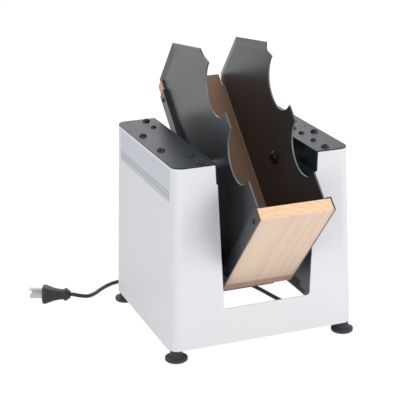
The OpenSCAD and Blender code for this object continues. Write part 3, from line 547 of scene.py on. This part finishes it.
@dataclass
class PowerCord:
    """The power cord and its plug: along the floor under the bin, into a coil behind, out to the plug."""

    diameter: float = 5.5
    coil_centre: tuple[float, float] = (-45.0, 236.0)
    coil_r: float = 25.0
    coil_pitch: float = 6.8
    coil_turns: float = 2.75
    coil_z: float = 3.0
    exit: Point = (92.0, -26.0, 37.0)
    plug_at: Point = (-192.0, 149.0, 13.0)
    plug_turn: float = 156.0
    plug_d: float = 26.0
    plug_l: float = 38.0

    @property
    def coil_front(self) -> float:
        """Y of the coil's front edge, where the cord enters and leaves it."""
        return self.coil_centre[1] - self.coil_r - self.coil_turns * self.coil_pitch

    def lead_route(self) -> np.ndarray:
        """Given points from the strain relief to the coil."""
        front, x = self.coil_front, self.coil_centre[0]
        return np.array([
            [92, -26, 37], [92, -26, 30], [91.5, -24, 19], [90, -16.5, 9], [87.5, -4, 3.6], [84.5, 10, 3],
            [81, 28, 3], [75, 55, 3], [68.5, 85, 3], [60.5, 113, 3], [48, 141, 3], [31, 164, 3],
            [9, 181, 3], [-13, 190, 3], [-29, front, 3], [x + self.diameter, front, 3],
        ])

    def tail_route(self) -> np.ndarray:
        """Given points from the coil's upper layer to the plug."""
        front, x, top = self.coil_front, self.coil_centre[0], self.coil_z + self.coil_pitch
        px, py, pz = self.plug_at
        return np.array([
            [x - self.diameter, front, top], [-58, front, top], [-73, front, 6.8], [-88, front, 3.8],
            [-103, 192, 3], [-121, 187, 3], [-138, 175.5, 3], [-153, 161, 3.4], [-166, 150.5, 5.6],
            [-178, 146.5, 9.6], [px + 3.7, py - 1.6, pz], [px, py, pz],
        ])

    def coil_route(self, per_turn: int = 48) -> np.ndarray:
        """Points of the coil: radius falls with the turn, holds while the layer climbs, and grows again."""
        total = 2 * self.coil_turns + 0.5
        turn = np.linspace(0, total, int(total * per_turn) + 1)
        inward = np.minimum(turn, self.coil_turns)
        outward = np.maximum(turn - self.coil_turns - 0.5, 0)
        climb = np.clip((turn - self.coil_turns) / 0.5, 0, 1)
        r = self.coil_r + self.coil_pitch * (self.coil_turns - inward + outward)
        a = -np.pi / 2 - 2 * np.pi * turn
        return np.stack([
            self.coil_centre[0] + r * np.cos(a), self.coil_centre[1] + r * np.sin(a),
            self.coil_z + self.coil_pitch * climb,
        ], axis=-1)

    @staticmethod
    def smoothed(route: np.ndarray, steps: int = 8) -> np.ndarray:
        """Carries a Catmull-Rom curve through the route's points.

        Args:
            route: array (n, 3) of points.
            steps: number of points on the curve for each stretch of the route.

        Returns:
            The curve's points, the route's own among them.
        """
        padded = np.concatenate([route[:1], route, route[-1:]])
        a, b, c, d = (padded[i:i + len(route) - 1][:, None] for i in range(4))
        u = np.linspace(0, 1, steps, endpoint=False)[None, :, None]
        m, n = (c - a) / 2, (d - b) / 2
        curve = ((2 * u**3 - 3 * u**2 + 1) * b + (u**3 - 2 * u**2 + u) * m
                 + (3 * u**2 - 2 * u**3) * c + (u**3 - u**2) * n)
        return np.concatenate([curve.reshape(-1, 3), route[-1:]])

    def path(self) -> np.ndarray:
        """The whole cord's centreline, in metres."""
        parts = [self.smoothed(self.lead_route()), self.coil_route(), self.smoothed(self.tail_route())]
        return np.concatenate(parts) * MM

    def build_cord(self) -> bpy.types.Object:
        """Makes the cord as one open curve with a round section."""
        points = self.path()
        curve = bpy.data.curves.new("power_cord", "CURVE")
        curve.dimensions = "3D"
        curve.bevel_depth = self.diameter / 2 * MM
        curve.bevel_resolution = 5
        curve.use_fill_caps = True
        spline = curve.splines.new("POLY")
        spline.points.add(len(points) - 1)
        spline.points.foreach_set("co", np.c_[points, np.ones(len(points))].ravel())
        spline.use_smooth = True
        piece = bpy.data.objects.new("power_cord", curve)
        bpy.context.scene.collection.objects.link(piece)
        return piece

    def build_plug(self) -> bpy.types.Object:
        """Makes the moulded plug: its section is a rounded square whose width and height follow the grip.

        A point at angle t has the radius of a superellipse, and finger ribs stand on the waist. Places
        along the plug are shares of its length, and half widths and heights are shares of its diameter.
        """
        stations = [0, 0.03, 0.09, 0.12, 0.2, 0.23, 0.4, 0.62, 0.82, 0.9, 0.975, 1.0]
        half_width = [.20, .23, .25, .34, .34, .28, .29, .37, .47, .495, .495, .47]
        half_height = [.20, .23, .25, .33, .33, .26, .27, .34, .45, .495, .495, .47]
        rib_from, rib_to, rib_pitch, rib_height = 0.27, 0.62, 0.05, 0.35
        squareness = 2.6
        blur = 5
        s = np.linspace(0, 1, 97)
        wide, high = (
            np.convolve(
                np.pad(np.interp(s, stations, share) * self.plug_d, blur // 2, mode="edge"),
                np.ones(blur) / blur, "valid",
            )
            for share in (half_width, half_height)
        )
        wave = np.clip(np.sin((s - rib_from) / rib_pitch * 2 * np.pi), 0, 1)
        rib = rib_height * wave * ((s > rib_from) & (s < rib_to))
        t = np.linspace(0, 2 * np.pi, 64, endpoint=False)
        across = np.sign(np.cos(t)) * np.abs(np.cos(t)) ** (2 / squareness)
        up = np.sign(np.sin(t)) * np.abs(np.sin(t)) ** (2 / squareness)
        grid = np.stack([
            np.broadcast_to(s[:, None] * self.plug_l, (len(s), len(t))),
            (wide + rib)[:, None] * across, (high + rib)[:, None] * up,
        ], axis=-1)
        ends = [np.broadcast_to(np.array([x * self.plug_l, 0.0, 0.0]), (1, len(t), 3)) for x in (0, 1)]
        a = math.radians(self.plug_turn)
        turn = np.array([[math.cos(a), -math.sin(a), 0], [math.sin(a), math.cos(a), 0], [0, 0, 1]])
        placed = np.concatenate([ends[0], grid, ends[1]]) @ turn.T + np.array(self.plug_at)
        surface = Surface("moulded_plug")
        surface.add_grid(placed, wrap_cols=True)
        return surface.finish(40)

    def dress(self, palette: Palette) -> None:
        cord, plug = self.build_cord(), self.build_plug()
        cord.data.materials.append(palette.jacket)
        plug.data.materials.append(palette.plug)
        for piece, slot in ((cord, "cord"), (plug, "plug")):
            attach(piece, Body.HOUSING.value)
        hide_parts("plug_body")
        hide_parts("power_cord_lead", "power_cord_coil", "power_cord_tail")


# ---------------------------------------------------------------- fasteners


@dataclass
class ButtonHead:
    """A domed screw head with a hexagonal socket, its axis along Z and its seat at the origin.

    lip is the radius at which the dome meets the socket, as a share of the socket's width. fall and
    bulge shape the dome.
    """

    diameter: float
    height: float
    socket: float
    sides: int = 36
    lip: float = 0.66
    fall: float = 0.72
    bulge: float = 2.4

    def dome(self, share: np.ndarray | float) -> np.ndarray | float:
        """Height of the dome at a share of the head's radius, where 1 is the height at the middle."""
        return 1 - self.fall * share ** self.bulge

    def grid(self) -> np.ndarray:
        """The head from its seat over the dome and down into the socket.

        The dome falls with a power of the radius, and the socket's rings follow a hexagon.
        """
        socket_rings = ((1.0, 0.97), (0.96, 0.9), (0.96, 0.35), (0.0, 0.3))
        r = self.diameter / 2
        lip = self.socket * self.lip
        k = np.linspace(0, 1, 9)
        radius = r + (lip - r) * k
        height = self.height * self.dome(radius / r) / self.dome(lip / r)
        outer = revolve(np.c_[np.r_[r, radius], np.r_[0, height]], self.sides)
        t = np.linspace(0, 2 * np.pi, self.sides, endpoint=False)
        hexagon = hex_ring(self.socket, self.sides)[:, None] * np.stack([np.cos(t), np.sin(t)], -1)
        rings = [np.c_[hexagon * scale, np.full(self.sides, z * self.height)] for scale, z in socket_rings]
        return np.concatenate([outer, np.array(rings)])


class Fasteners:
    """The screws whose heads show, each group replacing the node that carries it.

    heads gives each node's head diameter, head height and socket width. Vertices within apart of a
    screw's middle, seen from above, belong to that screw.
    """

    heads = {
        "left_cover_screws": (10.0, 3.4, 4.4), "right_cover_screws": (10.0, 3.4, 4.4),
        "left_rail_screws": (7.6, 2.6, 3.4), "right_rail_screws": (7.6, 2.6, 3.4),
    }
    apart: float = 9.0

    def places(self, node: str) -> list[Point]:
        """Finds each head's seat from the node's own mesh.

        Args:
            node: the node that carries the screws.

        Returns:
            For each cluster of vertices, seen from above, the middle of its box at the covers' height.
        """
        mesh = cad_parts[node].data
        flat = np.empty(len(mesh.vertices) * 3)
        mesh.vertices.foreach_get("co", flat)
        seen = np.unique(np.round(flat.reshape(-1, 3)[:, :2] / MM), axis=0)
        spots: list[list[np.ndarray]] = []
        for point in seen:
            near = [spot for spot in spots if np.linalg.norm(np.mean(spot, axis=0) - point) < self.apart]
            if near:
                near[0].append(point)
            else:
                spots.append([point])
        return [(*((np.min(s, axis=0) + np.max(s, axis=0)) / 2), MACHINE.cover_z) for s in spots]

    def dress(self, palette: Palette) -> None:
        """Makes the heads and puts them on the housing."""
        for node, (diameter, height, socket) in self.heads.items():
            surface = Surface(f"{node}_heads")
            head = ButtonHead(diameter, height, socket).grid()
            places = self.places(node)
            for place in places:
                surface.add_grid(head + np.array(place), wrap_cols=True)
            piece = surface.finish(40)
            piece.data.materials.append(palette.black_steel)
            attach(piece, Body.HOUSING.value)
            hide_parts(node)
            LOG.info("%s: %d heads", node, len(places))


# ---------------------------------------------------------------- sub-assemblies


def softened(
    node: str, width: float, body: Body, material: bpy.types.Material,
) -> bpy.types.Object:
    """Copies a node's mesh, welds it, rounds its sharp edges and lets the copy stand for the node.

    Args:
        node: the node to copy.
        width: the width of the rounded edge, in millimetres.
        body: the body that the copy rides on.
        material: its finish.

    Returns:
        The new object.
    """
    flat_within, smooth_within, bevel_above = 0.5, 30, math.radians(40)
    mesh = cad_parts[node].data.copy()
    work = bmesh.new()
    work.from_mesh(mesh)
    bmesh.ops.remove_doubles(work, verts=work.verts, dist=SOLID_WELD)
    flat = math.radians(flat_within)
    bmesh.ops.dissolve_limit(work, angle_limit=flat, verts=work.verts, edges=work.edges)
    work.to_mesh(mesh)
    work.free()
    piece = bpy.data.objects.new(f"{node}_finished", mesh)
    bpy.context.scene.collection.objects.link(piece)
    mesh.materials.clear()
    mesh.materials.append(material)
    shade(mesh, smooth_within)
    bevel = piece.modifiers.new("rounded_edges", "BEVEL")
    bevel.width = width * MM
    bevel.segments = 3
    bevel.limit_method = "ANGLE"
    bevel.angle_limit = bevel_above
    bevel.harden_normals = True
    bevel.miter_outer = "MITER_ARC"
    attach(piece, body.value)
    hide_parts(node)
    return piece


FaceTest = Callable[[np.ndarray, np.ndarray], bool]
FACING = 0.9
"""A face looks a given way when the cosine between that way and its normal is above this."""
EDGE_LEAN = 0.3
"""The most that the normal of a sheet's cut edge leans to the side."""
EDGE_SPAN = 2.3
"""The most that a sheet's cut edge spans from side to side, in millimetres."""
GROOVE_SLACK = 0.1
"""How far a corner may be off the groove's floor, in millimetres."""


def accent(piece: bpy.types.Object, material: bpy.types.Material, chosen: FaceTest) -> None:
    """Gives some faces of a piece a second finish.

    Args:
        piece: the piece, with its first finish already on it.
        material: the second finish.
        chosen: says of a face's normal and its corner points, in metres, whether the face gets it.
    """
    mesh = piece.data
    mesh.materials.append(material)
    for face in mesh.polygons:
        corners = np.array([mesh.vertices[i].co for i in face.vertices])
        if chosen(np.array(face.normal), corners):
            face.material_index = 1


def is_cut_edge(normal: np.ndarray, corners: np.ndarray) -> bool:
    """Whether a face of a side plate is the narrow edge of its sheet."""
    return abs(normal[0]) < EDGE_LEAN and np.ptp(corners[:, 0]) < EDGE_SPAN * MM


def is_board_end(normal: np.ndarray, corners: np.ndarray) -> bool:
    """Whether a face of the floor board is its front end, which looks forwards along the slope."""
    a = math.radians(MACHINE.slope)
    return float(normal @ np.array([0, -math.cos(a), math.sin(a)])) > FACING


def is_pointer(normal: np.ndarray, corners: np.ndarray) -> bool:
    """Whether a face of the speed knob is the floor of its pointer groove."""
    off = abs(corners[:, 1] - MACHINE.pointer_y * MM)
    return normal[1] > FACING and bool(np.all(off < GROOVE_SLACK * MM))


def paint(material: bpy.types.Material, *nodes: str) -> None:
    """Gives carried-over nodes a finish."""
    for name in nodes:
        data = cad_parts[name].data
        data.materials.clear()
        data.materials.append(material)


@dataclass
class SidePanel:
    """The printed panel on the housing's left side: a pale field over two thin dark stripes, no lettering."""

    front: float = -75.0
    back: float = 121.0
    top: float = 250.0
    band_foot: float = 209.0
    stripe_z: tuple[float, float] = (221.0, 216.0)
    stripe_w: float = 1.1
    proud: float = 0.15
    sunk: float = 0.4

    def surface(self) -> bpy.types.Object:
        """A thin closed slab on the leaning side: x follows the side's draft as z goes down."""
        y = np.array([self.front, self.back, self.back, self.front])
        out = np.array([self.proud, self.proud, -self.sunk, -self.sunk])
        z = np.array([self.band_foot, self.top])[:, None]
        walls = np.stack(np.broadcast_arrays(-MACHINE.side_x(z) - out, y, z), -1)
        surface = Surface("side_panel")
        surface.add_grid(walls, wrap_cols=True)
        for row in walls:
            surface.add_grid(row[[0, 1, 3, 2]].reshape(2, 2, 3))
        return surface.finish()

    def finish(self, effects: Effects) -> bpy.types.Material:
        """The panel's paint: its colour changes with the height, in steps."""
        base = Finish("side_panel_print", (0.46, 0.49, 0.56), (0.42, 0.45, 0.52), 0.34, 0.00002,
                      levels={"Wear": 0.2, "Peel": 0.6})
        material = base.material(effects.enamel, "Color", "Worn")
        nodes, links = material.node_tree.nodes, material.node_tree.links
        effect = next(n for n in nodes if n.type == "GROUP")
        where = next(n for n in nodes if n.type == "TEX_COORD")
        split = nodes.new("ShaderNodeSeparateXYZ")
        links.new(where.outputs["Object"], split.inputs[0])
        height = nodes.new("ShaderNodeMapRange")
        height.inputs["From Min"].default_value = self.band_foot * MM
        height.inputs["From Max"].default_value = self.top * MM
        links.new(split.outputs["Z"], height.inputs["Value"])
        ramp = nodes.new("ShaderNodeValToRGB")
        ramp.color_ramp.interpolation = "CONSTANT"
        span = self.top - self.band_foot
        dark, pale, band = (0.14, 0.15, 0.18, 1), (0.47, 0.49, 0.55, 1), (0.42, 0.44, 0.49, 1)
        marks = [(0.0, band)]
        for z in sorted(self.stripe_z):
            marks += [((z - self.stripe_w / 2 - self.band_foot) / span, dark),
                      ((z + self.stripe_w / 2 - self.band_foot) / span, band)]
        marks[-1] = (marks[-1][0], pale)
        stops = ramp.color_ramp.elements
        for i, (at, colour) in enumerate(marks):
            stop = stops[0] if i == 0 else stops.new(at)
            stop.position, stop.color = at, colour
        stops.remove(stops[-1])
        links.new(height.outputs[0], ramp.inputs[0])
        links.new(ramp.outputs[0], effect.inputs["Color"])
        return material


class Housing:
    """The sheet-metal housing with its covers, inner walls, rails, bushes, feet and control."""

    def dress(self, palette: Palette, effects: Effects) -> None:
        """Finishes every piece of the housing."""
        softened("housing_shell", 0.5, Body.HOUSING, palette.shell)
        for side in ("left", "right"):
            softened(f"{side}_top_plate", 0.4, Body.HOUSING, palette.cover)
        paint(palette.inner, "left_inner_wall", "right_inner_wall")
        paint(palette.bracket, "left_carrier_rail", "right_carrier_rail")
        paint(palette.rubber, "left_rubber_bush", "right_rubber_bush", "front_left_foot", "front_right_foot",
              "back_left_foot", "back_right_foot")
        paint(palette.zinc, "left_bush_sleeve", "right_bush_sleeve", "foot_screws", "control_nut",
              "cord_bracket")
        paint(palette.control, "speed_control")
        paint(palette.jacket, "cord_strain_relief")
        paint(palette.nickel, "plug_blades")
        panel = SidePanel()
        piece = panel.surface()
        piece.data.materials.append(panel.finish(effects))
        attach(piece, Body.HOUSING.value)
        LOG.info("housing dressed")


class Bin:
    """The tilted bin: two boards, two black sides and their screws, and the drive under it."""

    def dress(self, palette: Palette) -> None:
        """Finishes every piece of the bin."""
        floor_board = softened("floor_board", 0.9, Body.BIN, palette.floor_board)
        accent(floor_board, palette.end_grain, is_board_end)
        # The back board's wood is darker than the floor board's: painted shade.
        softened("back_board", 0.9, Body.BIN, palette.back_board)
        for side in ("left", "right"):
            plate = softened(f"{side}_side_plate", 0.35, Body.BIN, palette.plate)
            # The cut edges get a lighter grey: bare steel, and in part a painted highlight.
            accent(plate, palette.cut_edge, is_cut_edge)
        paint(palette.black_steel, "board_screws", "left_pivot_bolt", "right_pivot_bolt")
        paint(palette.zinc, "left_pivot_spacer", "right_pivot_spacer", "left_pivot_nut", "right_pivot_nut",
              "bracket_bolts")
        paint(palette.bracket, "motor_bracket")
        paint(palette.motor, "motor_can")
        paint(palette.cast, "motor_end_caps")
        paint(palette.bronze, "motor_bearings")
        LOG.info("bin dressed")


class Movers:
    """The motor's rotor with its weight, and the speed knob."""

    def dress(self, palette: Palette) -> None:
        """Finishes the rotor and the knob."""
        paint(palette.zinc, "motor_shaft", "knob_spindle")
        paint(palette.cast, "eccentric_weight")
        knob = softened("speed_knob", 0.4, Body.KNOB, palette.knob)
        accent(knob, palette.pointer, is_pointer)
        LOG.info("rotor and knob dressed")


# ---------------------------------------------------------------- studio


@dataclass
class PhotoCamera:
    """A camera where the photograph was taken from."""

    place: Point = (-615.6, -1516.5, 732.3)
    yaw: float = 20.41
    pitch: float = 18.85
    roll: float = -1.01
    lens: float = 119.03
    sensor: float = 36.0
    clip: tuple[float, float] = (0.05, 30.0)

    def build(self) -> None:
        """Makes the camera; its axes are worked out from yaw, pitch and roll."""
        yaw, pitch, roll = (math.radians(v) for v in (self.yaw, self.pitch, self.roll))
        ahead = np.array([math.sin(yaw) * math.cos(pitch), math.cos(yaw) * math.cos(pitch), -math.sin(pitch)])
        level = np.array([math.cos(yaw), -math.sin(yaw), 0.0])
        above = np.cross(level, ahead)
        right = math.cos(roll) * level + math.sin(roll) * above
        up = -math.sin(roll) * level + math.cos(roll) * above
        camera = bpy.data.cameras.new("photo_camera")
        camera.lens = self.lens
        camera.sensor_width = self.sensor
        camera.clip_start, camera.clip_end = self.clip
        piece = bpy.data.objects.new("photo_camera", camera)
        axes = np.c_[right, up, -ahead, np.array(self.place) * MM]
        piece.matrix_world = Matrix(np.r_[axes, [[0, 0, 0, 1]]].tolist())
        bpy.context.scene.collection.objects.link(piece)
        bpy.context.scene.camera = piece


@dataclass
class Lamp:
    """A soft square lamp that looks at a spot inside the housing; places in metres, power in watts."""

    name: str
    place: Point
    size: float
    power: float
    target: Point = (0.0, 0.0, 0.16)

    def build(self) -> None:
        """Makes the lamp and points it at its target."""
        light = bpy.data.lights.new(self.name, "AREA")
        light.shape = "SQUARE"
        light.size = self.size
        light.energy = self.power
        piece = bpy.data.objects.new(self.name, light)
        turn = (Vector(self.place) - Vector(self.target)).to_track_quat("Z", "Y")
        piece.matrix_world = Matrix.Translation(self.place) @ turn.to_matrix().to_4x4()
        bpy.context.scene.collection.objects.link(piece)


class Studio:
    """A white floor and surround with soft lamps."""

    lamps = (
        Lamp("key_lamp", (1.2, -1.8, 1.0), 1.2, 34.0),
        Lamp("fill_lamp", (-1.9, -1.0, 0.8), 1.4, 22.0),
        Lamp("back_lamp", (0.3, 1.6, 1.5), 1.4, 22.0),
    )
    surround: float = 0.42
    floor_rings = (0.0, 300.0, 900.0, 4000.0)
    floor_tone: float = 0.9
    floor_glow: float = 1.09
    floor_glow_share: float = 0.9

    def seen_directly(self, tree: bpy.types.NodeTree) -> object:
        """A mask that is 1 for camera, glossy and transmission rays and 0 for the rest."""
        path = tree.nodes.new("ShaderNodeLightPath")
        total = path.outputs["Is Camera Ray"]
        for label in ("Is Glossy Ray", "Is Transmission Ray"):
            either = tree.nodes.new("ShaderNodeMath")
            either.operation = "MAXIMUM"
            tree.links.new(total, either.inputs[0])
            tree.links.new(path.outputs[label], either.inputs[1])
            total = either.outputs[0]
        return total

    def build_world(self) -> None:
        """Lights the scene from all around, and shows white where a ray sees the world directly."""
        world = bpy.data.worlds.new("studio_world")
        world.use_nodes = True
        bpy.context.scene.world = world
        tree = world.node_tree
        background = tree.nodes["Background"]
        background.inputs["Color"].default_value = (1, 1, 1, 1)
        level = tree.nodes.new("ShaderNodeMapRange")
        level.inputs["To Min"].default_value = self.surround
        level.inputs["To Max"].default_value = 1.0
        tree.links.new(self.seen_directly(tree), level.inputs["Value"])
        tree.links.new(level.outputs[0], background.inputs["Strength"])

    def build_floor(self) -> None:
        """A large white disc whose colour the object's shadow still shades."""
        surface = Surface("studio_floor")
        profile = np.c_[self.floor_rings, np.zeros(len(self.floor_rings))]
        surface.add_grid(revolve(profile, 64), wrap_cols=True)
        floor = surface.finish()
        material = bpy.data.materials.new("studio_floor_paint")
        material.use_nodes = True
        tree = material.node_tree
        tree.nodes.remove(tree.nodes["Principled BSDF"])
        matt = tree.nodes.new("ShaderNodeBsdfDiffuse")
        matt.inputs["Color"].default_value = (self.floor_tone, self.floor_tone, self.floor_tone, 1)
        white = tree.nodes.new("ShaderNodeEmission")
        white.inputs["Strength"].default_value = self.floor_glow
        mix = tree.nodes.new("ShaderNodeMixShader")
        share = tree.nodes.new("ShaderNodeMath")
        share.operation = "MULTIPLY"
        share.inputs[1].default_value = self.floor_glow_share
        tree.links.new(self.seen_directly(tree), share.inputs[0])
        tree.links.new(share.outputs[0], mix.inputs[0])
        tree.links.new(matt.outputs[0], mix.inputs[1])
        tree.links.new(white.outputs[0], mix.inputs[2])
        tree.links.new(mix.outputs[0], tree.nodes["Material Output"].inputs["Surface"])
        floor.data.materials.append(material)

    def build(self) -> None:
        """Makes the world, the floor and the lamps."""
        self.build_world()
        self.build_floor()
        for lamp in self.lamps:
            lamp.build()
        bpy.context.scene.view_settings.view_transform = "Standard"
        LOG.info("studio built")


def main() -> None:
    """Builds the scene in order: camera, cord, studio, then the machine's pieces."""
    logging.basicConfig(level=logging.INFO, format="%(name)s: %(message)s")
    PhotoCamera().build()
    effects = Effects()
    palette = Palette(effects)
    PowerCord().dress(palette)
    Studio().build()
    Housing().dress(palette, effects)
    Bin().dress(palette)
    Movers().dress(palette)
    Fasteners().dress(palette)


if __name__ == "__main__":
    main()
